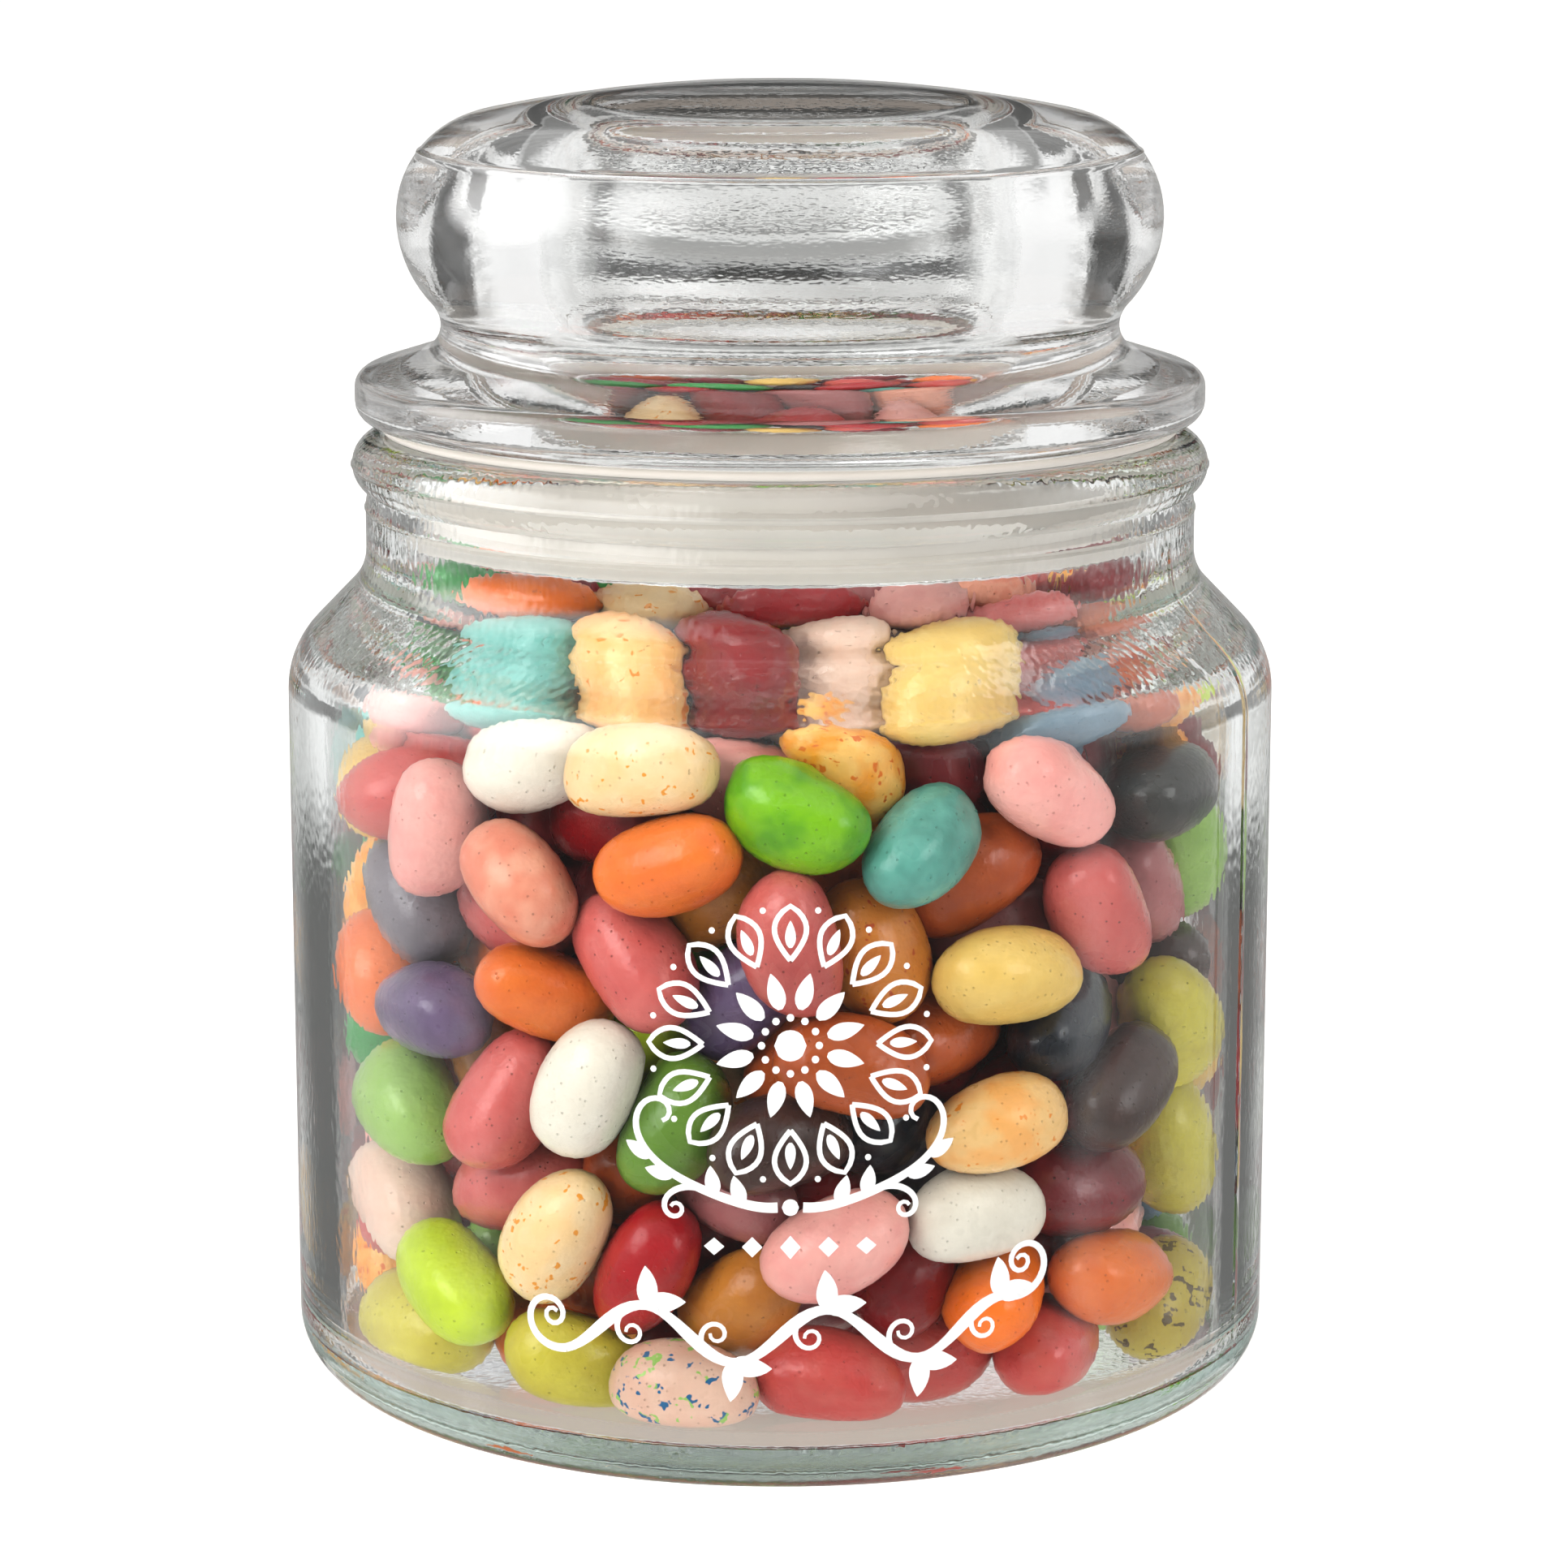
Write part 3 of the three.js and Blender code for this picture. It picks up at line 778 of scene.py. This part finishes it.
bright = math_node(shell, "ADD", bright, math_node(shell, "MULTIPLY", grain.outputs["Fac"], 0.1))
# Pits: small hollows in the shell, dented by the bump below. Their colour is darkened here as painted
# shade, as much as the flavour's pore shade says.
pit = ramp(shell, pore.outputs["Distance"], 0.16, 0.05)
bright = math_node(shell, "SUBTRACT", bright, math_node(shell, "MULTIPLY", pit, given["Pore Shade"]))
scaled = node(shell, "ShaderNodeVectorMath", operation="SCALE", Scale=bright)
shell.links.new(colour, scaled.inputs[0])
shell.links.new(scaled.outputs[0], result["Color"])
height = math_node(shell, "SUBTRACT", math_node(shell, "MULTIPLY", grain.outputs["Fac"], 1.1), pit)
shell.links.new(math_node(shell, "ADD", height, cloud.outputs["Fac"]), result["Height"])
rough = math_node(shell, "ADD", 0.2, math_node(shell, "MULTIPLY", cloud.outputs["Fac"], 0.2))
shell.links.new(rough, result["Roughness"])

SHELL_BUMP = 0.075
COAT = 0.35
COAT_ROUGHNESS = 0.19


def linear(colour):
    """A colour as it looks on a screen, in the shader's linear numbers."""
    return tuple(((c + 0.055) / 1.055) ** 2.4 if c > 0.04 else c / 12.92 for c in colour) + (1,)


def shell_material(name, base, mottle, amount=0.45, spots=0.0, spot=(1, 1, 1), green=0.0, pore_shade=0.25):
    """Polished sugar shell over jelly, in one flavour's colours."""
    material, tree, body = new_material(name + "_shell")
    place = node(tree, "ShaderNodeTexCoord")
    tone = node(tree, "ShaderNodeAttribute", attribute_name="tone")
    skin = node(tree, "ShaderNodeGroup", node_tree=shell)
    tree.links.new(place.outputs["Object"], skin.inputs["Vector"])
    tree.links.new(tone.outputs["Fac"], skin.inputs["Tone"])
    for label, value in (("Base", linear(base)), ("Mottle", linear(mottle)), ("Amount", amount),
                         ("Spot", linear(spot)), ("Spots", spots), ("Green", green), ("Pore Shade", pore_shade)):
        skin.inputs[label].default_value = value
    bump = node(tree, "ShaderNodeBump", Height=skin.outputs["Height"], Distance=SHELL_BUMP * MM)
    tree.links.new(skin.outputs["Color"], body.inputs["Base Color"])
    tree.links.new(skin.outputs["Roughness"], body.inputs["Roughness"])
    tree.links.new(bump.outputs[0], body.inputs["Normal"])
    body.inputs["Coat Weight"].default_value = COAT
    body.inputs["Coat Roughness"].default_value = COAT_ROUGHNESS
    return material


for flavour, look in FLAVOURS.items():
    beans = []
    for i in range(BEAN_COUNT):
        if flavour_of[i] == flavour:
            bean = bpy.data.objects.new("bean", bean_mesh(i))
            bpy.context.collection.objects.link(bean)
            beans.append(bean)
    if not beans:
        continue
    bpy.ops.object.select_all(action="DESELECT")
    for bean in beans:
        bean.select_set(True)
    bpy.context.view_layer.objects.active = beans[0]
    if len(beans) > 1:
        bpy.ops.object.join()
    batch = bpy.context.object
    batch.name = batch.data.name = "beans_" + flavour
    rounding = batch.modifiers.new("rounding", "SUBSURF")
    rounding.levels = rounding.render_levels = 2
    bpy.ops.object.modifier_apply(modifier=rounding.name)
    surface = np.array([v.co for v in batch.data.vertices]) / MM
    reach = np.hypot(surface[:, 0], surface[:, 1]) + 1e-9
    surface[:, :2] *= np.minimum(1, np.interp(surface[:, 2], wall_z, wall_r) / reach)[:, None]
    batch.data.vertices.foreach_set("co", (surface * MM).ravel())
    bpy.ops.object.shade_smooth()
    finish(batch, shell_material(flavour, **look), "bean_shell", "jelly_beans")
bpy.data.objects.remove(bean_block)

# ---- Core of the heap --------------------------------------------------------------------------
# The beans in the middle, which nothing shows: sweets like the others, held in place by them. Here
# they are one rounded mass of mixed cell colours, darkened towards deep red as painted shade.
CORE_BEVEL = 4.0

bpy.ops.mesh.primitive_cylinder_add(
    vertices=24,
    radius=CORE_R * MM,
    depth=(CORE_TOP - CORE_LOW) * MM,
    location=(0, 0, (CORE_TOP + CORE_LOW) / 2 * MM),
)
core = bpy.context.object
core.name = core.data.name = "heap_core"
bpy.ops.object.transform_apply()
edit(core)
bpy.ops.mesh.bevel(offset=CORE_BEVEL * MM, segments=3)
bpy.ops.object.mode_set(mode="OBJECT")
bpy.ops.object.shade_smooth()
core_material, tree, body = new_material("heap_core_in_painted_shade")
cells = node(tree, "ShaderNodeTexVoronoi", Scale=95.0)
tree.links.new(node(tree, "ShaderNodeTexCoord").outputs["Object"], cells.inputs["Vector"])
# Painted shade: the cell colours are mixed 60 per cent towards a deep red-brown, for beans deep in the
# heap that lie in shadow.
cells_in_painted_shade = mix(tree, 0.6, cells.outputs["Color"], (0.30, 0.05, 0.03, 1))
tree.links.new(cells_in_painted_shade, body.inputs["Base Color"])
finish(core, core_material, "bean_shell", "jelly_beans")

# ---- Seal ring ---------------------------------------------------------------------------------
# A sleeve of soft milky plastic, pressed over the lid's plug. Its ribs grip the neck and its lip
# lies on the rim.
GAP = 0.3
LIP_T = 0.8
LIP_ROUND = 0.4
SEAL_T = 0.8
SEAL_EDGE = 0.3
SEAL_RIBS = 4
SEAL_DROP = 10.6
SEAL_TURNS = 128
PLUG_R = 36.1

LIP_Z = RIM_Z + GAP
seal_in = PLUG_R + GAP
seal_out = seal_in + SEAL_T
rib_out = NECK_INNER_R - GAP
seal_foot = LIP_Z + LIP_T - SEAL_DROP
rib_pitch = (LIP_Z - seal_foot) / (SEAL_RIBS + 0.5)
seal_outline = [
    (seal_in, seal_foot + SEAL_EDGE), (seal_in + SEAL_EDGE, seal_foot), (seal_out - 0.2, seal_foot),
]
for rib in range(SEAL_RIBS):
    rib_z = seal_foot + rib_pitch * (rib + 0.6)
    seal_outline += [
        (seal_out, rib_z - 0.6), (rib_out - 0.1, rib_z - 0.2),
        (rib_out, rib_z), (seal_out, rib_z + 0.35),
    ]
seal_outline += [
    (seal_out, LIP_Z), (BEAD_R - SEAL_EDGE, LIP_Z),
    *arc(BEAD_R - LIP_ROUND, LIP_Z + LIP_ROUND, LIP_ROUND, -90, 90, 4),
    (seal_in, LIP_Z + LIP_T), (seal_in, seal_foot + SEAL_EDGE),
]
seal = turned("seal_sleeve", seal_outline, SEAL_TURNS)

milky, tree, body = new_material("seal_milky_plastic")
wisp = node(tree, "ShaderNodeTexNoise", Scale=160.0, Detail=2.0)
tree.links.new(node(tree, "ShaderNodeTexCoord").outputs["Object"], wisp.inputs["Vector"])
veiled = mix(tree, wisp.outputs["Fac"], (0.74, 0.705, 0.68, 1), (0.84, 0.81, 0.785, 1))
tree.links.new(veiled, body.inputs["Base Color"])
body.inputs["Roughness"].default_value = 0.4
body.inputs["Transmission Weight"].default_value = 0.25
body.inputs["IOR"].default_value = 1.3
finish(seal, milky, "seal_plastic", "seal_ring")

# ---- Glass lid ---------------------------------------------------------------------------------
# Thick pressed glass: a round bulb to hold, a waist, a sloping flange on the seal's lip and a plug
# in the neck, all hollow from below. Its mould leaves a seam round the bulb.
FLANGE_R = 42.8
FLANGE_TOP_Z = 101.1
FLANGE_EDGE = 1.6
FLANGE_UNDER = 2.0
CONE_SLOPE = 17.0
WAIST_R = 34.1
WAIST_Z = 107.2
WAIST_FILLET = 3.0
BULB_R = 38.4
BULB_Z = 118.0
BULB_LOW_ARC = 12.5
BULB_TOP_ARC = 10.4
BULB_LOW_TURN = -44.2
LID_SEAM_TURN = 38.0
LID_SEAM_GAP = 4.0
CROWN_R = 150.0
PLUG_DROP = 11.5
PLUG_NOTCH = 0.4
PLUG_EDGE = 1.2
HOLLOW_MOUTH_R = 25.5
MOUTH_EDGE = 1.5
HOLLOW_R = 24.0
HOLLOW_TOP_Z = 124.0
HOLLOW_CORNER = 6.0

FLANGE_Z = LIP_Z + LIP_T + GAP
plug_z = FLANGE_Z - PLUG_DROP
top_arc_r = BULB_R - BULB_TOP_ARC
crown_lean = math.degrees(math.asin(top_arc_r / (CROWN_R - BULB_TOP_ARC)))
crown_z = BULB_Z - (CROWN_R - BULB_TOP_ARC) * math.cos(math.radians(crown_lean))
seam_cos, seam_sin = math.cos(math.radians(LID_SEAM_TURN)), math.sin(math.radians(LID_SEAM_TURN))
lid_seam = ridge(
    top_arc_r + BULB_TOP_ARC * seam_cos, BULB_Z + BULB_TOP_ARC * seam_sin, -seam_sin, seam_cos
)
lid = turned(
    "lid_knob",
    [
        *[(max(r, POLE_R), z) for r, z in arc(0, crown_z, CROWN_R, 90, 90 - crown_lean, 8)],
        *arc(top_arc_r, BULB_Z, BULB_TOP_ARC, 90 - crown_lean, LID_SEAM_TURN + LID_SEAM_GAP, 8)[1:],
        *lid_seam[::-1],
        *arc(top_arc_r, BULB_Z, BULB_TOP_ARC, LID_SEAM_TURN - LID_SEAM_GAP, 0, 6),
        *arc(BULB_R - BULB_LOW_ARC, BULB_Z, BULB_LOW_ARC, 0, BULB_LOW_TURN, 9)[1:],
        *arc(
            WAIST_R + WAIST_FILLET, WAIST_Z, WAIST_FILLET, 180 + BULB_LOW_TURN, 270 - CONE_SLOPE, 9
        )[1:],
        *arc(FLANGE_R - FLANGE_EDGE, FLANGE_TOP_Z, FLANGE_EDGE, 90 - CONE_SLOPE, 0, 5),
        *arc(FLANGE_R - FLANGE_UNDER, FLANGE_Z + FLANGE_UNDER, FLANGE_UNDER, 0, -90, 6),
        (PLUG_R + PLUG_NOTCH, FLANGE_Z),
        *arc(PLUG_R + PLUG_NOTCH, FLANGE_Z - PLUG_NOTCH, PLUG_NOTCH, 90, 180, 2),
        *arc(PLUG_R - PLUG_EDGE, plug_z + PLUG_EDGE, PLUG_EDGE, 0, -90, 4),
        *arc(HOLLOW_MOUTH_R + MOUTH_EDGE, plug_z + MOUTH_EDGE, MOUTH_EDGE, -90, -180, 4),
        *arc(HOLLOW_R - HOLLOW_CORNER, HOLLOW_TOP_Z - HOLLOW_CORNER, HOLLOW_CORNER, 0, 90, 10),
        (0.5 * HOLLOW_R, HOLLOW_TOP_Z),
        (POLE_R, HOLLOW_TOP_Z),
    ],
    JAR_TURNS,
)
finish(lid, glass("lid_glass", 0, 1500, 85, 3.0, 0.02, (60, 140)), "lid_glass", "lid")

# ---- Floor, light and camera -------------------------------------------------------------------
# A plain pale floor, two soft boxes in front and one above, and a pale studio with darker cards
# behind the jar, for the edges of its glass, and soft glows around it, for the gloss.
FLOOR_R = 6.0
FLOOR_GLOW = 1.6
AIM = (0, 0, 0.06)
LAMP_COLOUR = (1.0, 0.95, 0.87)
STUDIO = (0.95, 0.95, 0.945, 1)
STREAK_DIM = (0.62, 0.62, 0.61, 1)
STREAK_PALE = (1.0, 1.0, 0.99, 1)
# Painted shade of the floor under the jar, as the glass shows it.
FLOOR_IN_PAINTED_SHADE = (0.58, 0.50, 0.44, 1)
SOFT_FILL = (0.32, 0.295, 0.26, 1)
BACKDROP = (1, 1, 1, 1)

bpy.ops.mesh.primitive_circle_add(vertices=96, radius=FLOOR_R, fill_type="NGON")
floor = bpy.context.object
floor.name = floor.data.name = "floor"
pale, tree, body = new_material("pale_floor")
cloudy = node(tree, "ShaderNodeTexNoise", Scale=3.0)
tree.links.new(node(tree, "ShaderNodeTexCoord").outputs["Object"], cloudy.inputs["Vector"])
paper = mix(tree, cloudy.outputs["Fac"], (0.50, 0.50, 0.50, 1), (0.53, 0.53, 0.53, 1))
tree.links.new(paper, body.inputs["Base Color"])
tree.links.new(paper, body.inputs["Emission Color"])
body.inputs["Emission Strength"].default_value = FLOOR_GLOW
body.inputs["Roughness"].default_value = 0.9
floor.data.materials.append(pale)
floor.visible_transmission = False
floor.visible_glossy = False


def softbox(name, turn, rise, distance, width, height, power):
    """A large soft light, aimed at the middle of the jar."""
    a, e = math.radians(turn), math.radians(rise)
    away = Vector((math.sin(a) * math.cos(e), -math.cos(a) * math.cos(e), math.sin(e)))
    light = bpy.data.lights.new(name, "AREA")
    light.shape = "RECTANGLE"
    light.size, light.size_y = width, height
    light.energy = power
    light.color = LAMP_COLOUR
    lamp = bpy.data.objects.new(name, light)
    lamp.location = Vector(AIM) + away * distance
    lamp.rotation_euler = away.to_track_quat("Z", "Y").to_euler()
    lamp.visible_glossy = lamp.visible_transmission = False
    bpy.context.collection.objects.link(lamp)


softbox("key_softbox", -45, 34, 1.0, 0.5, 0.6, 8.3)
softbox("fill_softbox", 52, 26, 1.0, 0.4, 0.5, 2.5)
softbox("top_softbox", 10, 80, 1.1, 0.9, 0.9, 3.4)

world = bpy.data.worlds.new("studio")
bpy.context.scene.world = world
world.use_nodes = True
tree = world.node_tree
tree.nodes.clear()
way = node(tree, "ShaderNodeTexCoord").outputs["Generated"]
split = node(tree, "ShaderNodeSeparateXYZ", Vector=way)
turn = math_node(tree, "ARCTAN2", math_node(tree, "ABSOLUTE", split.outputs[0]), split.outputs[1])
turn = math_node(tree, "MULTIPLY", turn, 180 / math.pi)
rise = math_node(tree, "MULTIPLY", math_node(tree, "ARCSINE", split.outputs[2]), 180 / math.pi)


def between(value, low, high, soft):
    """1 between two angles and 0 beyond them."""
    up = ramp(tree, value, low - soft, low + soft)
    down = ramp(tree, value, high + soft, high - soft)
    return math_node(tree, "MULTIPLY", up, down)


def glow(aside, height, wide, soft):
    """1 on a round soft patch of the studio: turned from the front, at a height, soft at its edge."""
    a, e = math.radians(aside), math.radians(height)
    towards = (math.sin(a) * math.cos(e), -math.cos(a) * math.cos(e), math.sin(e))
    near = node(tree, "ShaderNodeVectorMath", operation="DOT_PRODUCT")
    fill(tree, near.inputs, (way, towards))
    edge, middle = (math.cos(math.radians(wide + d)) for d in (soft, -soft))
    return ramp(tree, near.outputs["Value"], edge, middle)


# Kinds of ray: mirrored by the outside of the glass, seen through no more than its thick parts,
# mirrored at all, and mirrored by the beans inside.
light = node(tree, "ShaderNodeLightPath")
bends, mirrors = light.outputs["Transmission Depth"], light.outputs["Glossy Depth"]
on_glass = math_node(tree, "LESS_THAN", bends, 0.5)
in_thick = math_node(tree, "LESS_THAN", bends, 2.5)
mirrored_once = math_node(tree, "GREATER_THAN", mirrors, 0.5)
on_beans = math_node(tree, "MULTIPLY", math_node(tree, "GREATER_THAN", bends, 3.5), mirrored_once)

# Cards: degrees turned from straight behind the jar and how soft, degrees above the horizon and
# how soft, the grey, and which kind of ray meets them, or None for all.
CARDS = [
    (-9, 14, 4, 14, 19, 3, 0.75, None),
    (-9, 14, 3, 18.5, 26, 1.0, 0.28, None),
    (-9, 13, 3, 6.4, 13, 1.5, 0.42, None),
    (16, 23, 2, 7, 13, 1.5, 0.20, None),
    (-9, 22, 5, 3.6, 6.2, 0.6, 0.05, None),
    (16, 31, 1.5, -8, 0.5, 1.5, 0.12, None),
    (-9, 12, 2, -7.5, -3.0, 0.6, 0.14, None),
    (-9, 10, 3, -15, -10.6, 0.8, 0.14, None),
    (14.5, 52, 1.5, -24, -10.9, 0.6, 0.15, None),
    (52, 100, 3.0, -40, -6, 2.0, 0.30, mirrored_once),
    (106, 190, 5.0, -60, 2, 4.0, 0.10, mirrored_once),
    (134, 190, 10.0, -4, 38, 5.0, 0.16, mirrored_once),
    (-9, 20, 5, 2, 16, 2, 0.06, in_thick),
    (-9, 30, 6, -20, 3, 4, 0.42, on_glass),
    (-9, 18, 5, 4, 22, 2, 0.04, on_glass),
]
streak = node(tree, "ShaderNodeMapping", Vector=way, Scale=(3, 3, 60))
streak = node(tree, "ShaderNodeTexNoise", Vector=streak.outputs[0], Scale=1.0, Detail=2.0)
seen = mix(tree, ramp(tree, streak.outputs["Fac"], 0.4, 0.6), STREAK_DIM, STREAK_PALE)
seen = mix(tree, between(turn, -9, 36, 6), STUDIO, seen)
for low_turn, high_turn, soft_turn, low_rise, high_rise, soft_rise, grey, where in CARDS:
    card = math_node(
        tree, "MULTIPLY",
        between(turn, low_turn, high_turn, soft_turn), between(rise, low_rise, high_rise, soft_rise),
    )
    if where:
        card = math_node(tree, "MULTIPLY", card, where)
    seen = mix(tree, card, seen, (grey, grey, grey * 0.98, 1))
# Painted shade: below the horizon the studio stands for the floor seen through the glass, darker and
# reddish, as the floor in the jar's shadow with light from the beans on it.
seen = mix(tree, ramp(tree, rise, -25, -29), seen, FLOOR_IN_PAINTED_SHADE)

# Glows: degrees turned from the front, degrees above the horizon, how wide and how soft, how
# bright, and which kind of ray meets them.
GLOWS = [
    (-44, 30, 16, 6, 5.5, on_beans),
    (48, 24, 11, 4, 4.0, on_beans),
    (-46, 28, 18, 9, 5, on_glass),
    (-108, -11, 13, 6, 1.3, on_glass),
    (99, 58, 6, 1, 4, on_glass),
    (-92, 20, 21, 10, 7.0, on_glass),
    (90, 20, 16, 9, 2.2, on_glass),
]
for aside, height, wide, soft, bright, where in GLOWS:
    patch = math_node(tree, "MULTIPLY", glow(aside, height, wide, soft), where)
    seen = mix(tree, patch, seen, (bright, bright, bright, 1))
shown = node(tree, "ShaderNodeBackground", Color=seen)
for ray, plain_colour in (("Is Diffuse Ray", SOFT_FILL), ("Is Camera Ray", BACKDROP)):
    plain = node(tree, "ShaderNodeBackground", Color=plain_colour)
    shown = either(tree, light.outputs[ray], shown, plain)
node(tree, "ShaderNodeOutputWorld", Surface=shown.outputs[0])
world.cycles.sampling_method = "NONE"

# Light paths: enough bends for the walls of the jar and the lid, few between the beans.
paths = bpy.context.scene.cycles
paths.max_bounces = 11
paths.diffuse_bounces = 1
paths.glossy_bounces = 7
paths.transmission_bounces = 10
paths.transparent_max_bounces = 10
paths.sample_clamp_indirect = 8.0
paths.adaptive_threshold = 0.2

# The camera, in metres and radians: in front of the jar, a little above it, and looking down.
EYE_AWAY = 0.500
EYE_HEIGHT = 0.163
EYE_PITCH = 0.2039
EYE_ASIDE = 0.0004
FOCAL_PX = 6130.0
FRAME_PX = 1932.0
camera = bpy.data.cameras.new("camera")
camera.sensor_width = 36.0
camera.lens = FOCAL_PX / FRAME_PX * camera.sensor_width
eye = bpy.data.objects.new("camera", camera)
eye.location = (EYE_ASIDE, -EYE_AWAY, EYE_HEIGHT)
eye.rotation_euler = (math.pi / 2 - EYE_PITCH, 0, 0)
bpy.context.collection.objects.link(eye)
bpy.context.scene.camera = eye
bpy.context.scene.view_settings.view_transform = "Standard"
